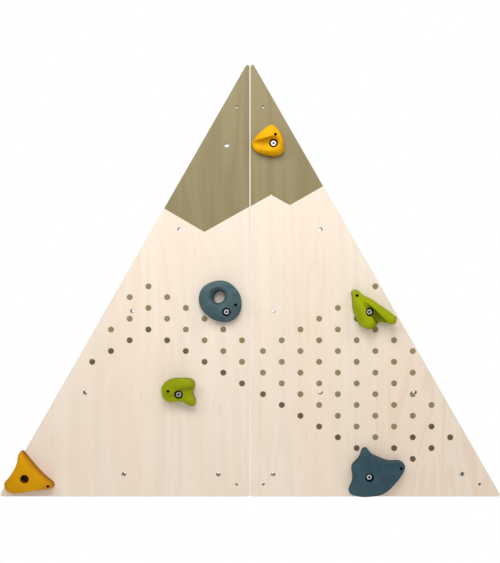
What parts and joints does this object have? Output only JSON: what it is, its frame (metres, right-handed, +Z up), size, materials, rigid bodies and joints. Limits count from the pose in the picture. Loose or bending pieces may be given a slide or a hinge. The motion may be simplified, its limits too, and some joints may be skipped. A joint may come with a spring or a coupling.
{
  "type": "climbing wall",
  "caption": "Triangular wall-mounted climbing board of mirrored plywood panels, with threaded inserts and moulded holds fixed by cap bolts.",
  "frame": {"origin": "bottom of the seam between the two panels, on the plane of their backs, which is the wall's face", "axes": "+X to the right along the bottom edge as a climber sees it, +Y into the wall, +Z up along the seam"},
  "size_m": [1.1928, 0.059, 1.0315],
  "materials": {
    "plywood": "pale clear-lacquered birch plywood, rounded edges, olive mountain top and dots printed on the face",
    "yellow_resin": "sun yellow cast resin with a fine gritty skin",
    "blue_resin": "slate blue cast resin with a fine gritty skin",
    "green_resin": "leaf green cast resin with a fine gritty skin",
    "zinc_steel": "bright zinc plated steel",
    "black_steel": "black phosphated steel"
  },
  "bodies": {
    "root": {"corner_hold": "yellow_resin", "corner_hold_bolt": "zinc_steel", "corner_hold_insert": "zinc_steel", "corner_hold_spin_screw": "black_steel", "corner_hold_washer": "black_steel", "fork_hold": "green_resin", "fork_hold_bolt": "zinc_steel", "fork_hold_insert": "zinc_steel", "fork_hold_spin_screw": "black_steel", "fork_hold_washer": "black_steel", "left_free_insert_row1_1": "zinc_steel", "left_free_insert_row1_2": "zinc_steel", "left_free_insert_row2_2": "zinc_steel", "left_free_insert_row3_2": "zinc_steel", "left_free_insert_row4_1": "zinc_steel", "left_free_insert_row5_1": "zinc_steel", "left_panel": "plywood", "mitten_hold": "green_resin", "mitten_hold_bolt": "zinc_steel", "mitten_hold_insert": "zinc_steel", "mitten_hold_spin_screw": "black_steel", "mitten_hold_washer": "black_steel", "peak_hold": "yellow_resin", "peak_hold_bolt": "zinc_steel", "peak_hold_insert": "zinc_steel", "peak_hold_spin_screw": "black_steel", "peak_hold_washer": "black_steel", "plate_hold": "blue_resin", "plate_hold_bolt": "zinc_steel", "plate_hold_insert": "zinc_steel", "plate_hold_spin_screw": "black_steel", "plate_hold_washer": "black_steel", "right_free_insert_row1_1": "zinc_steel", "right_free_insert_row1_3": "zinc_steel", "right_free_insert_row2_1": "zinc_steel", "right_free_insert_row2_2": "zinc_steel", "right_free_insert_row3_1": "zinc_steel", "right_free_insert_row4_1": "zinc_steel", "right_panel": "plywood", "ring_hold": "blue_resin", "ring_hold_bolt": "zinc_steel", "ring_hold_insert": "zinc_steel", "ring_hold_spin_screw": "black_steel", "ring_hold_washer": "black_steel"}
  },
  "joints": []
}
